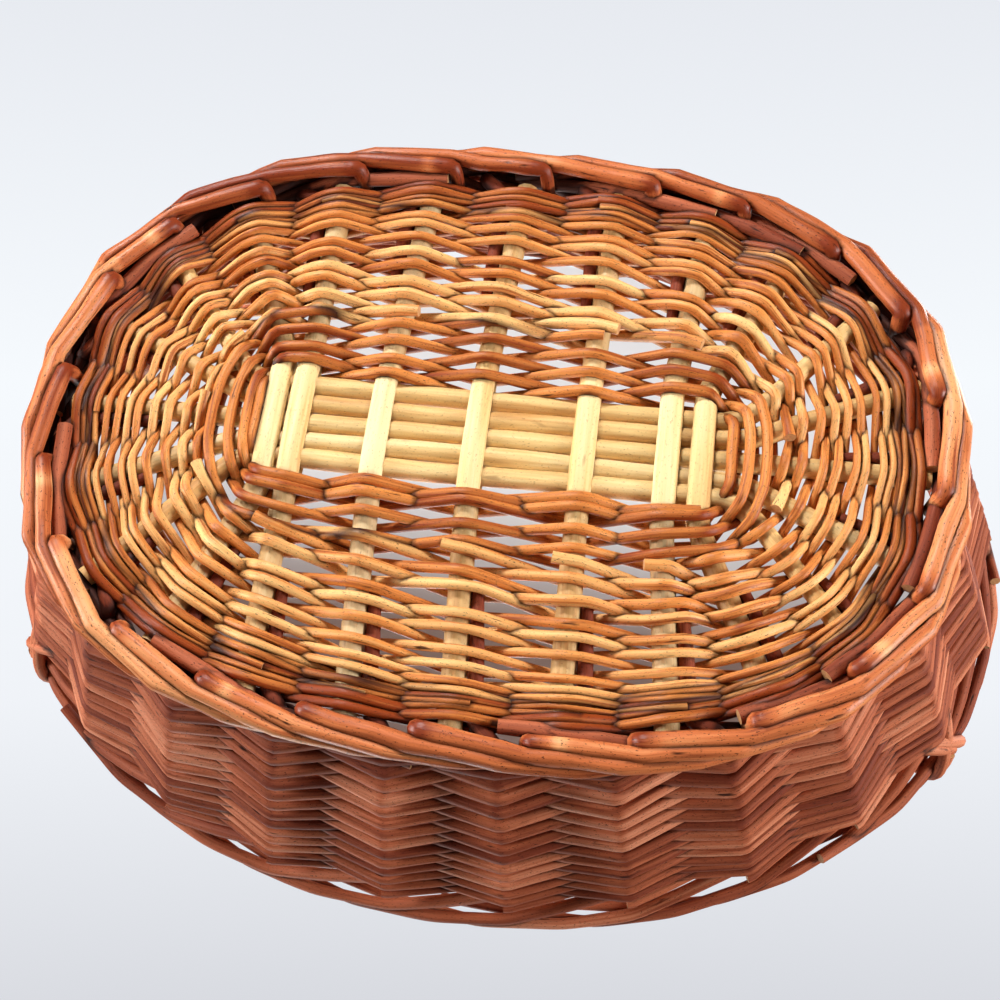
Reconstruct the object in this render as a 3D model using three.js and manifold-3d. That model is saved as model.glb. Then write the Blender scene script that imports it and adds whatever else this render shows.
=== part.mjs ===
// Oval gathering basket of willow rods: a stick base, a woven side, a plaited foot and rim, and two roped ear handles.
import * as THREE from "three";
import Module from "manifold-3d";

// Overall sizes in millimetres
const RIM_LENGTH = 434;
const RIM_WIDTH = 330;
const FOOT_LENGTH = 360;
const FOOT_WIDTH = 267;
const HEIGHT = 124;
const HANDLE_RISE = 50;
const BASE_HEIGHT = 12;
const RIM_BAND = 23;
const GAP = 0.35;
const WEAVE_TOP = HEIGHT - RIM_BAND;

// Rod thicknesses
const LONG_STICK = 7;
const CROSS_STICK = 9.2;
const STAKE_BUTT = 6.2;
const STAKE_TOP = 5.2;
const FOOT_ROD = 8.6;
const BASE_ROD = 3.9;
const SIDE_ROD_BUTT = 5;
const SIDE_ROD_TIP = 4.2;
const BOW_ROD = 9.6;
const WRAP_ROD = 4;
const LASHING_ROD = 3.2;

// Base layout
const STATIONS = 24;
const LONG_STICKS = 5;
const LONG_STICK_PITCH = 8.2;
const CROSS_STICK_X = [-81, -68, -36, 6, 44, 76, 86];
const CROSS_END_X = 96;
const CROSS_END_Y = 28;
const BASE_EDGE_INSET = 11;
const BASE_ROW = 0.07;
const STAKE_ENTRY = 0.66;
const STAKE_PHASE = 0.45;
const FULLNESS_FOOT = 2.3;
const FULLNESS_RIM = 2.05;

// Side, rim and handle layout
const SIDE_ROW = 5.3;
const SIDE_CLEARANCE = 5.2;
const FOOT_RUN = 2.4;
const FOOT_HOOK = 0.275;
const FOOT_LANE = 4.5;
const HANDLE_STATION = 1.5;
const BOW_INSET = 14.6;
const BOW_TUCK = 48;
const WRAP_CLEARANCE = 15;
const WRAP_LOOPS = 9;
const LASHING_LOOPS = 2;

const wasm = await Module();
wasm.setup();

const mix = (from, to, share) => from + (to - from) * share;

// A closed oval in plan: gives the point and outward direction at any station, the stations being equally far apart.
function oval(halfLength, halfWidth, fullness) {
  const steps = 960;
  const bend = (value) => Math.sign(value) * Math.abs(value) ** (2 / fullness);
  const points = [];
  for (let i = 0; i <= steps; i++) {
    const angle = (2 * Math.PI * i) / steps;
    points.push(new THREE.Vector2(halfLength * bend(Math.cos(angle)), halfWidth * bend(Math.sin(angle))));
  }
  const lengths = [0];
  for (let i = 1; i <= steps; i++) {
    lengths.push(lengths[i - 1] + points[i].distanceTo(points[i - 1]));
  }
  return (station) => {
    const turn = (((station / STATIONS) % 1) + 1) % 1;
    const along = turn * lengths[steps];
    const next = Math.max(1, lengths.findIndex((length) => length >= along));
    const share = (along - lengths[next - 1]) / (lengths[next] - lengths[next - 1]);
    const point = points[next - 1].clone().lerp(points[next], share);
    const power = fullness - 1;
    const outX = (Math.sign(point.x) * Math.abs(point.x / halfLength) ** power) / halfLength;
    const outY = (Math.sign(point.y) * Math.abs(point.y / halfWidth) ** power) / halfWidth;
    return { point, out: new THREE.Vector2(outX, outY).normalize() };
  };
}

// A rod of changing thickness along a line of points, with flat cut ends; tall stretches its section upright.
function rod(points, radii, sides, tall = null) {
  const radiusAt = (i) => (Array.isArray(radii) ? radii[i] : radii);
  const last = points.length - 1;
  const heading = (i) => points[i + 1].clone().sub(points[i]).normalize();
  const corners = [];
  let side = null;
  for (let i = 0; i <= last; i++) {
    const before = i > 0 ? heading(i - 1) : heading(0);
    const after = i < last ? heading(i) : heading(last - 1);
    const tangent = before.clone().add(after).normalize();
    if (!side) {
      const upright = Math.abs(tangent.z) < 0.8 ? new THREE.Vector3(0, 0, 1) : new THREE.Vector3(1, 0, 0);
      side = upright.cross(tangent).normalize();
    }
    side = side.clone().addScaledVector(tangent, -side.dot(tangent)).normalize();
    const lift = tangent.clone().cross(side);
    const bend = after.clone().sub(before);
    const halfCos = Math.max(0.75, tangent.dot(before));
    const fold = bend.length() > 1e-6 ? bend.normalize() : null;
    for (let j = 0; j < sides; j++) {
      const angle = (2 * Math.PI * (j + 0.5)) / sides;
      const offset = side.clone().multiplyScalar(Math.cos(angle)).addScaledVector(lift, Math.sin(angle));
      if (fold) {
        offset.addScaledVector(fold, offset.dot(fold) * (1 / halfCos - 1));
      }
      offset.multiplyScalar(radiusAt(i));
      if (tall) {
        offset.z *= tall[i];
      }
      corners.push(points[i].clone().add(offset));
    }
  }
  corners.push(points[0].clone(), points[last].clone());
  const faces = [];
  for (let i = 0; i < last; i++) {
    for (let j = 0; j < sides; j++) {
      const a = i * sides + j;
      const b = i * sides + ((j + 1) % sides);
      faces.push(a, b, b + sides, a, b + sides, a + sides);
    }
  }
  for (let j = 0; j < sides; j++) {
    const next = (j + 1) % sides;
    faces.push(corners.length - 2, next, j);
    faces.push(corners.length - 1, last * sides + j, last * sides + next);
  }
  const geometry = new THREE.BufferGeometry().setFromPoints(corners);
  geometry.setIndex(faces);
  return geometry;
}

// Joins and cuts of closed geometry
function solid(geometry) {
  const flat = geometry.index ? geometry : weld(geometry);
  const mesh = new wasm.Mesh({
    numProp: 3,
    vertProperties: new Float32Array(flat.attributes.position.array),
    triVerts: new Uint32Array(flat.index.array),
  });
  mesh.merge();
  return new wasm.Manifold(mesh);
}

function weld(geometry) {
  const order = Array.from({ length: geometry.attributes.position.count }, (_, i) => i);
  return geometry.clone().setIndex(order);
}

function shell(made) {
  const mesh = made.getMesh();
  const geometry = new THREE.BufferGeometry();
  geometry.setAttribute("position", new THREE.BufferAttribute(mesh.vertProperties, 3));
  geometry.setIndex(new THREE.BufferAttribute(mesh.triVerts, 1));
  return geometry;
}

// Rod colours
const finish = (color, roughness) => new THREE.MeshStandardMaterial({ color, roughness });
const CREAM = finish(0xf0d79a, 0.6);
const HONEY = finish(0xc99055, 0.6);
const ROSE = finish(0xb06c4c, 0.6);
const AMBER = finish(0xc77a48, 0.5);

const basket = new THREE.Group();
basket.name = "gathering_basket";
function add(name, geometry, material) {
  geometry.computeVertexNormals();
  const mesh = new THREE.Mesh(geometry, material);
  mesh.name = name;
  basket.add(mesh);
}

// Rings that the rods follow: the foot line, the edge of the base weave and the side at any height
const footHalfLength = FOOT_LENGTH / 2 - FOOT_ROD - 0.6;
const footHalfWidth = FOOT_WIDTH / 2 - FOOT_ROD - 0.6;
const rimHalfLength = RIM_LENGTH / 2 - STAKE_TOP / 2 - 1;
const rimHalfWidth = RIM_WIDTH / 2 - STAKE_TOP / 2 - 1;
const rimLine = HEIGHT - STAKE_TOP / 2;
const footRing = oval(footHalfLength, footHalfWidth, FULLNESS_FOOT);
const edgeRing = oval(footHalfLength - BASE_EDGE_INSET, footHalfWidth - BASE_EDGE_INSET, FULLNESS_FOOT);
const rings = new Map();
function sideRing(height) {
  const key = height.toFixed(2);
  if (!rings.has(key)) {
    const share = (height - BASE_HEIGHT) / (rimLine - BASE_HEIGHT);
    const halfLength = mix(footHalfLength, rimHalfLength, share);
    const halfWidth = mix(footHalfWidth, rimHalfWidth, share);
    rings.set(key, oval(halfLength, halfWidth, mix(FULLNESS_FOOT, FULLNESS_RIM, share)));
  }
  return rings.get(key);
}
function place(ring, station, outward, height) {
  const { point, out } = ring(station);
  return new THREE.Vector3(point.x + out.x * outward, point.y + out.y * outward, height);
}

// Where each stick leaves the middle cross and where it ends; station 0 is the right end and stations run anticlockwise
const middle = (LONG_STICKS - 1) / 2;
const sticks = [];
for (let j = 0; j < LONG_STICKS; j++) {
  const y = (j - middle) * LONG_STICK_PITCH;
  sticks[(j - middle + STATIONS) % STATIONS] = { root: new THREE.Vector2(CROSS_END_X, y), radius: LONG_STICK / 2 };
  sticks[STATIONS / 2 - (j - middle)] = { root: new THREE.Vector2(-CROSS_END_X, y), radius: LONG_STICK / 2 };
}
CROSS_STICK_X.forEach((x, i) => {
  sticks[STATIONS * 0.75 + i - 3] = { root: new THREE.Vector2(x, -CROSS_END_Y), radius: CROSS_STICK / 2 };
  sticks[STATIONS / 4 - i + 3] = { root: new THREE.Vector2(x, CROSS_END_Y), radius: CROSS_STICK / 2 };
});
sticks.forEach((stick, k) => {
  const { point, out } = edgeRing(k);
  stick.tip = point;
  stick.along = new THREE.Vector2(-out.y, out.x);
});
function onStick(k, share, sideways, height) {
  const stick = sticks[((k % STATIONS) + STATIONS) % STATIONS];
  const point = stick.root.clone().lerp(stick.tip, share).addScaledVector(stick.along, sideways);
  return new THREE.Vector3(point.x, point.y, height);
}

// Long sticks lie side by side through the slits of the cross sticks and fan out at both ends
for (let j = 0; j < LONG_STICKS; j++) {
  const right = j - middle;
  const left = STATIONS / 2 - right;
  const points = [1, 0].map((share) => onStick(left, share, 0, BASE_HEIGHT));
  points.push(...[0, 1].map((share) => onStick(right, share, 0, BASE_HEIGHT)));
  add(`long_stick_${j + 1}`, rod(points, LONG_STICK / 2, 8), CREAM);
}

// Cross sticks are split in the middle and swell round the long sticks
const slitHalf = LONG_STICK / 2 + GAP;
const slitReach = middle * LONG_STICK_PITCH + LONG_STICK / 2 + GAP;
const swell = (slitHalf + CROSS_STICK * 0.26) / (CROSS_STICK / 2);
const slitOutline = new THREE.Shape();
slitOutline.moveTo(-slitReach - 4, 0);
slitOutline.lineTo(-slitReach, slitHalf);
slitOutline.lineTo(slitReach, slitHalf);
slitOutline.lineTo(slitReach + 4, 0);
slitOutline.lineTo(slitReach, -slitHalf);
slitOutline.lineTo(-slitReach, -slitHalf);
CROSS_STICK_X.forEach((x, i) => {
  const near = STATIONS * 0.75 + i - 3;
  const far = STATIONS / 4 - i + 3;
  const points = [1, 0].map((share) => onStick(near, share, 0, BASE_HEIGHT));
  points.push(...[-slitReach, slitReach].map((y) => new THREE.Vector3(x, y, BASE_HEIGHT)));
  points.push(...[0, 1].map((share) => onStick(far, share, 0, BASE_HEIGHT)));
  const stick = rod(points, CROSS_STICK / 2, 8, [1, 1, swell, swell, 1, 1]);
  const slit = new THREE.ExtrudeGeometry(slitOutline, { depth: 2 * CROSS_STICK, bevelEnabled: false });
  slit.rotateY(Math.PI / 2);
  slit.rotateX(Math.PI / 2);
  slit.translate(x - CROSS_STICK, 0, BASE_HEIGHT);
  add(`cross_stick_${i + 1}`, shell(solid(stick).subtract(solid(slit))), CREAM);
});

// Stakes: each starts beside a stick, bends up the side and is laid down into the rim over the next two stakes
const stakeRadius = (height) => mix(STAKE_BUTT, STAKE_TOP, (height - BASE_HEIGHT) / (WEAVE_TOP - BASE_HEIGHT)) / 2;
const borderRise = rimLine - WEAVE_TOP;
const tuck = STAKE_TOP + GAP;
const borderLine = [
  { run: 0.5, rise: 0.45, out: 0.4 },
  { run: 1, rise: 0.92, out: 0.8 },
  { run: 1.35, rise: 1, out: 0.5 },
  { run: 1.8, rise: 1, out: -tuck },
  { run: 2.3, rise: 0.98, out: -tuck - 0.5 },
];
const stakeFoot = [];
const stakeHead = [];
for (let k = 0; k < STATIONS; k++) {
  const station = k - STAKE_PHASE;
  const beside = -(sticks[k].radius + GAP);
  stakeFoot[k] = place(sideRing(BASE_HEIGHT + 3), station, 0, BASE_HEIGHT + 3);
  stakeHead[k] = place(sideRing(WEAVE_TOP), station, 0, WEAVE_TOP);
  const points = [
    onStick(k, STAKE_ENTRY, beside - STAKE_BUTT * 0.26, BASE_HEIGHT),
    onStick(k, mix(STAKE_ENTRY, 1, 0.5), beside - STAKE_BUTT * 0.45, BASE_HEIGHT),
    onStick(k, 0.99, beside - STAKE_BUTT * 0.52, BASE_HEIGHT),
    place(footRing, station, -2.5, BASE_HEIGHT - 0.3),
    stakeFoot[k],
    stakeHead[k],
  ];
  const radii = [0.22, 0.42, 0.48, 0.5, 0.5].map((share) => share * STAKE_BUTT);
  radii.push(STAKE_TOP / 2);
  borderLine.forEach(({ run, rise, out }) => {
    const height = WEAVE_TOP + borderRise * rise;
    points.push(place(sideRing(height), station + run, out, height));
    radii.push(STAKE_TOP / 2);
  });
  add(`stake_${String(k + 1).padStart(2, "0")}`, rod(points, radii, 5), ROSE);
}

// Base weave: two rods bind the sticks in bundles, then two go over and under every stick, chasing each other outwards
const bundles = [[-2, 0, 2], [3, 4], [5], [6], [7], [8, 9], [10, 12, 14], [15, 16], [17], [18], [19], [20, 21]];
function overUnder(k, share, shift, up) {
  const stick = sticks[((k % STATIONS) + STATIONS) % STATIONS];
  const lift = stick.radius + BASE_ROD / 2 + GAP;
  return onStick(k, share, shift * lift, BASE_HEIGHT + up * lift);
}
function binder(first) {
  const points = [];
  for (let i = 0; i < bundles.length - 1; i++) {
    const at = (i + 9) % bundles.length;
    const share = 0.05 + BASE_ROW * first + (2 * BASE_ROW * i) / bundles.length;
    const up = (at + first) % 2 ? 1 : -1;
    const bundle = bundles[at];
    points.push(overUnder(bundle[0], share, -0.42, up));
    bundle.slice(1, -1).forEach((k) => points.push(overUnder(k, share, 0, up)));
    points.push(overUnder(bundle[bundle.length - 1], share, 0.42, up));
  }
  return points;
}
function baseWeaver(first) {
  const points = [];
  for (let i = 0; ; i++) {
    const k = 18 + i;
    const share = 0.3 + BASE_ROW * first + (2 * BASE_ROW * i) / STATIONS;
    if (share > 0.965) {
      return points;
    }
    const up = (k + first) % 2 ? 1 : -1;
    const stick = sticks[k % STATIONS];
    const lift = stick.radius + BASE_ROD / 2 + GAP;
    const stakeReach = stick.radius + STAKE_BUTT / 2 + GAP + 0.42 * (STAKE_BUTT / 2 + BASE_ROD / 2);
    const wide = share > STAKE_ENTRY - BASE_ROW ? stakeReach / lift : 0.42;
    points.push(overUnder(k, share, -wide, up));
    points.push(overUnder(k, share, 0.42, up));
  }
}
["a", "b"].forEach((letter, first) => {
  add(`base_binder_${letter}`, rod(binder(first), BASE_ROD / 2, 5), HONEY);
  add(`base_weaver_${letter}`, rod(baseWeaver(first), BASE_ROD / 2, 4), HONEY);
});

// Side weave: two rods climb in turn outside and inside the stakes, each bend pushed out until the rod clears its stake
function distanceToLine(point, start, end) {
  const line = end.clone().sub(start);
  const share = Math.min(1, Math.max(0, point.clone().sub(start).dot(line) / line.lengthSq()));
  return start.clone().addScaledVector(line, share).distanceTo(point);
}
const sideStart = BASE_HEIGHT + SIDE_CLEARANCE;
const sideReach = WEAVE_TOP - SIDE_ROD_TIP / 2 - GAP - sideStart;
const sideRows = Math.floor(sideReach / SIDE_ROW - 0.5);
const sideRise = sideReach / (sideRows + 0.5);
function sideWeaver(first) {
  const bends = [];
  const count = Math.floor((sideRows / 2) * STATIONS) - first * 6;
  for (let i = 0; i < count; i++) {
    const k = i % STATIONS;
    const height = sideStart + sideRise * (first + (2 * i) / STATIONS);
    const share = (height - stakeFoot[k].z) / (stakeHead[k].z - stakeFoot[k].z);
    const centre = stakeFoot[k].clone().lerp(stakeHead[k], share);
    const { out } = footRing(k - STAKE_PHASE);
    const way = (k + first) % 2 ? 1 : -1;
    const radius = mix(SIDE_ROD_BUTT, SIDE_ROD_TIP, i / count) / 2;
    const need = stakeRadius(height) * 1.08 + radius + GAP;
    bends.push({ centre, out, way, radius, need, reach: need });
  }
  const pointOf = ({ centre, out, way, reach }) =>
    new THREE.Vector3(centre.x + out.x * way * reach, centre.y + out.y * way * reach, centre.z);
  const flat = (bend) => new THREE.Vector3().copy(pointOf(bend)).setZ(0);
  for (let round = 0; round < 8; round++) {
    bends.forEach((bend, i) => {
      const centre = bend.centre.clone().setZ(0);
      const neighbours = [bends[i - 1], bends[i + 1]].filter(Boolean);
      const near = Math.min(...neighbours.map((other) => distanceToLine(centre, flat(bend), flat(other))));
      bend.reach += Math.max(0, bend.need - near);
    });
  }
  return rod(bends.map(pointOf), bends.map((bend) => bend.radius), 5);
}
["a", "b"].forEach((letter, first) => add(`side_weaver_${letter}`, sideWeaver(first), ROSE));

// Foot border: each rod is hooked up beside a stake and runs round under the stakes' bends, from an inner to an outer lane
const footLow = FOOT_ROD / 2 - 0.5;
let foot = null;
for (let k = 0; k < STATIONS; k++) {
  const station = k - STAKE_PHASE - FOOT_HOOK;
  const points = [
    place(footRing, station, -FOOT_LANE, BASE_HEIGHT),
    place(footRing, station, -FOOT_LANE, footLow + FOOT_ROD * 0.35),
    place(footRing, station - 0.12, -FOOT_LANE + 0.3, footLow),
    place(footRing, station - 0.6, -FOOT_LANE / 3, footLow),
    place(footRing, station - 1.2, FOOT_LANE * 0.6, footLow),
    place(footRing, station - 1.9, FOOT_LANE, footLow + FOOT_ROD * 0.1),
    place(footRing, station - FOOT_RUN, FOOT_LANE + 0.4, footLow + FOOT_ROD * 0.2),
  ];
  const radii = [0.42, 0.48, 0.5, 0.5, 0.5, 0.48, 0.4].map((share) => share * FOOT_ROD);
  const piece = solid(rod(points, radii, 5));
  foot = foot ? foot.add(piece) : piece;
}
const ground = new THREE.BoxGeometry(2 * RIM_LENGTH, 2 * RIM_WIDTH, HEIGHT);
ground.translate(0, 0, -HEIGHT / 2);
add("foot_border", shell(foot.subtract(solid(ground))), AMBER);

// Ear handles: a bent bow inside the rim at each end, roped round, and lashed over the rim at both feet
function bowLine(end) {
  const low = WEAVE_TOP + borderRise - BOW_TUCK;
  const feet = [-HANDLE_STATION, HANDLE_STATION].map((offset) => {
    const heights = [low, mix(low, rimLine, 0.5), rimLine];
    return heights.map((height) => place(sideRing(height), end + offset, -BOW_INSET, height));
  });
  const lean = place(sideRing(rimLine), end, -BOW_INSET * 0.7, rimLine + HANDLE_RISE - BOW_ROD / 2);
  const shoulder = (leg) => {
    const point = leg[2].clone().lerp(lean, 0.22);
    point.z = mix(rimLine, lean.z, 0.72);
    return point;
  };
  const line = [...feet[0], shoulder(feet[0]), lean, shoulder(feet[1]), ...feet[1].reverse()];
  return new THREE.CatmullRomCurve3(line, false, "centripetal");
}

// A wound rod round a line: the loops follow the line between two shares of its length
function windingRound(curve, from, to, radius, loops) {
  const steps = loops * 8;
  const points = [];
  const inward = new THREE.Vector3();
  const centre = curve.getPointAt(0.5).setZ(0).normalize();
  for (let i = 0; i <= steps; i++) {
    const share = mix(from, to, i / steps);
    const at = curve.getPointAt(share);
    const tangent = curve.getTangentAt(share);
    inward.copy(centre).addScaledVector(tangent, -centre.dot(tangent)).normalize();
    const across = tangent.clone().cross(inward);
    const angle = (2 * Math.PI * i) / 8;
    at.addScaledVector(inward, Math.cos(angle) * radius).addScaledVector(across, Math.sin(angle) * radius);
    points.push(at);
  }
  return points;
}
function leastGap(points, thickness, apart) {
  let least = Infinity;
  points.forEach((point, i) => {
    for (let j = i + apart; j < points.length - 1; j++) {
      least = Math.min(least, distanceToLine(point, points[j], points[j + 1]) - thickness);
    }
  });
  return least;
}

// A lashing runs down outside the rim, in under it beside the bow, behind the bow and back over on its other side
function lashingLine(station) {
  const radius = LASHING_ROD / 2;
  const { out } = sideRing(rimLine)(station);
  const along = new THREE.Vector3(-out.y, out.x, 0);
  const outside = STAKE_TOP / 2 + radius + GAP + 1.2;
  const behind = BOW_INSET + BOW_ROD / 2 + radius + GAP;
  const over = HEIGHT + radius + GAP;
  const under = WEAVE_TOP + radius + 2.2;
  const clear = BOW_ROD / 2 + radius + GAP + 1.5;
  const corner = clear - 1;
  const shift = 2.2 * LASHING_ROD;
  const spot = (sideways, outward, height) =>
    place(sideRing(Math.min(height, rimLine)), station, outward, height).addScaledVector(along, sideways);
  const points = [];
  for (let loop = 0; loop <= LASHING_LOOPS; loop++) {
    const start = clear + shift * (LASHING_LOOPS - loop);
    const low = -clear - shift * loop;
    const high = start - shift;
    points.push(spot(start, outside - 1.5, over));
    points.push(spot(start - 3, outside + 1.2, over - 3));
    points.push(spot(low, outside, under));
    points.push(spot(low, -BOW_INSET * 0.6, under));
    if (loop < LASHING_LOOPS) {
      const heightAt = (sideways) => mix(under, over, (sideways - low) / (high - low));
      points.push(spot(-corner, -behind, heightAt(-corner)));
      points.push(spot(corner, -behind, heightAt(corner)));
      points.push(spot(high, -BOW_INSET * 0.8, over));
    }
  }
  return points;
}
let windingGap = Infinity;
["right", "left"].forEach((side, i) => {
  const end = (i * STATIONS) / 2;
  const bow = bowLine(end);
  const line = Array.from({ length: 17 }, (_, step) => bow.getPointAt(step / 16));
  const thickness = line.map((_, step) => (BOW_ROD / 2) * (step === 0 || step === 16 ? 0.5 : 1));
  add(`handle_bow_${side}`, rod(line, thickness, 8), AMBER);
  const start = (BOW_TUCK + WRAP_CLEARANCE) / bow.getLength();
  const wrap = windingRound(bow, start, 1 - start, BOW_ROD / 2 + WRAP_ROD / 2 + GAP + 0.9, WRAP_LOOPS);
  windingGap = Math.min(windingGap, leastGap(wrap, WRAP_ROD, 5));
  add(`handle_wrap_${side}`, rod(wrap, WRAP_ROD / 2, 5), AMBER);
  [-HANDLE_STATION, HANDLE_STATION].forEach((offset, foot_) => {
    const lashing = lashingLine(end + offset);
    windingGap = Math.min(windingGap, leastGap(lashing, LASHING_ROD, 5));
    add(`handle_lashing_${2 * i + foot_ + 1}`, rod(lashing, LASHING_ROD / 2, 5), AMBER);
  });
});
console.log(`least gap of a winding to itself: ${windingGap.toFixed(2)} mm`);

export default basket;
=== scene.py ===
"""Looks of the oval willow gathering basket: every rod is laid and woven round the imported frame."""

import math

import bpy
import numpy as np
from mathutils import Matrix, Vector
from mathutils.kdtree import KDTree


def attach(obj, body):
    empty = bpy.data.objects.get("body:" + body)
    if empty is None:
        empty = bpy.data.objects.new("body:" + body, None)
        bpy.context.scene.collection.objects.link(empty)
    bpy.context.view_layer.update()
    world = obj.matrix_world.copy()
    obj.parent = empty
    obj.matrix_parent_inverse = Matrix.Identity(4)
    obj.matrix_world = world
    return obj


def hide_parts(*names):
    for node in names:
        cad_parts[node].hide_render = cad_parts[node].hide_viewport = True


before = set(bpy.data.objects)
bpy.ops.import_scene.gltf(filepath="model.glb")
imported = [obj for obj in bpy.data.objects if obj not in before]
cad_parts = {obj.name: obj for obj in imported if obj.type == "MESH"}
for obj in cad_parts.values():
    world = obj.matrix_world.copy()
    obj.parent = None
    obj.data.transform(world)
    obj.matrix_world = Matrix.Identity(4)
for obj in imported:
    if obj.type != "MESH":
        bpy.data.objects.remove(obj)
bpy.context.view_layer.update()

MM = 0.001
FULL_TURN = 2 * math.pi

# Sizes of the basket in millimetres, and stations counted round it, as in the part's source
STATIONS = 24
HALF_WAY = STATIONS // 2
NEAR_STICK = 15
FAR_STICK = 9
LONG_STICKS = 5
BASE_HEIGHT = 12.0
HEIGHT = 124.0
WEAVE_TOP = 101.0
RIM_LINE = 121.4
FOOT_HALF = (170.8, 124.3)
RIM_HALF = (213.4, 161.4)
BORDER_HALF = (175.5, 126.3)
BORDER_FULLNESS = 2.5
EDGE_INSET = 10.5
FULLNESS_FOOT = 2.3
FULLNESS_RIM = 2.05
STAKE_PHASE = 0.45
SIDE_START = 17.2
FOOT_HOOK = 0.275
FOOT_LANE = 3.9
LONG_STICK = 7.0
LONG_STICK_PITCH = 8.2
CROSS_STICK = 9.2
CROSS_STICK_X = [-81, -68, -36, 6, 44, 76, 86]
CROSS_END_X = 96.0
CROSS_END_Y = 28.0
BOW_ROD = 9.6
BOW_INSET = 14.6
BOW_TUCK = 48.0
HANDLE_RISE = 50.0
HANDLE_STATION = 1.5

chance = np.random.default_rng(24)


def mix(start, end, share):
    return start + (end - start) * share


# Ovals in plan, with stations equally far apart round them
OVAL_POINTS = 961


def oval(half_length, half_width, fullness):
    angles = np.linspace(0, FULL_TURN, OVAL_POINTS)
    bend = lambda value: np.sign(value) * np.abs(value) ** (2 / fullness)
    outline = np.column_stack([half_length * bend(np.cos(angles)), half_width * bend(np.sin(angles))])
    lengths = np.concatenate([[0], np.cumsum(np.linalg.norm(np.diff(outline, axis=0), axis=1))])

    def at(station):
        along = (station / STATIONS) % 1 * lengths[-1]
        point = np.array([np.interp(along, lengths, outline[:, i]) for i in range(2)])
        out = np.sign(point) * np.abs(point / (half_length, half_width)) ** (fullness - 1)
        out = out / (half_length, half_width)
        return point, out / np.linalg.norm(out)

    return at


rings = {}


def side_ring(height):
    key = round(height, 1)
    if key not in rings:
        share = (key - BASE_HEIGHT) / (RIM_LINE - BASE_HEIGHT)
        half = [mix(FOOT_HALF[i], RIM_HALF[i], share) for i in range(2)]
        rings[key] = oval(half[0], half[1], mix(FULLNESS_FOOT, FULLNESS_RIM, share))
    return rings[key]


foot_ring = oval(*FOOT_HALF, FULLNESS_FOOT)
border_ring = oval(*BORDER_HALF, BORDER_FULLNESS)
edge_ring = oval(BORDER_HALF[0] - EDGE_INSET, BORDER_HALF[1] - EDGE_INSET, BORDER_FULLNESS)


def place(ring, station, outward, height):
    point, out = ring(station)
    return np.array([*(point + out * outward), height])


# Where each base stick leaves the middle cross and where it ends
sticks = {}
for j in range(LONG_STICKS):
    lane = j - LONG_STICKS // 2
    y = lane * LONG_STICK_PITCH
    sticks[lane % STATIONS] = (np.array([CROSS_END_X, y]), LONG_STICK / 2)
    sticks[HALF_WAY - lane] = (np.array([-CROSS_END_X, y]), LONG_STICK / 2)
for i, x in enumerate(CROSS_STICK_X):
    sticks[NEAR_STICK + i] = (np.array([x, -CROSS_END_Y]), CROSS_STICK / 2)
    sticks[FAR_STICK - i] = (np.array([x, CROSS_END_Y]), CROSS_STICK / 2)


def on_stick(k, share, sideways, height):
    root, _ = sticks[k % STATIONS]
    tip, out = edge_ring(k % STATIONS)
    along = np.array([-out[1], out[0]])
    return np.array([*(mix(root, tip, share) + along * sideways), height])


# Lines that rods follow
def bent(points, radii, step=3.0, rounds=3):
    """A line with its corners eased, sampled evenly, with the thickness at each sample."""
    points = np.array(points, float)
    lengths = np.concatenate([[0], np.cumsum(np.linalg.norm(np.diff(points, axis=0), axis=1))])
    even = np.linspace(0, lengths[-1], max(3, int(lengths[-1] / step) + 1))
    line = np.column_stack([np.interp(even, lengths, points[:, i]) for i in range(3)])
    thick = np.interp(even, lengths, np.broadcast_to(radii, len(points)))
    for _ in range(rounds):
        line[1:-1] = (line[:-2] + 2 * line[1:-1] + line[2:]) / 4
    return line, thick


def waver(count, reach, spread):
    """A slow random drift along a rod."""
    knots = max(3, int(count / spread) + 2)
    return np.interp(np.linspace(0, knots - 1, count), np.arange(knots), chance.normal(0, reach, knots))


# Rods as meshes: a path with a round section, made a mesh, with its lay and tone kept for the finish
SIDES = 10
WAVER_SPREAD = 6
LAY_RANGE = 40
KINK_START = 0.5
KINK_MOST = 1.2
KINK_TONE = 0.4
laid = []


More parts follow.
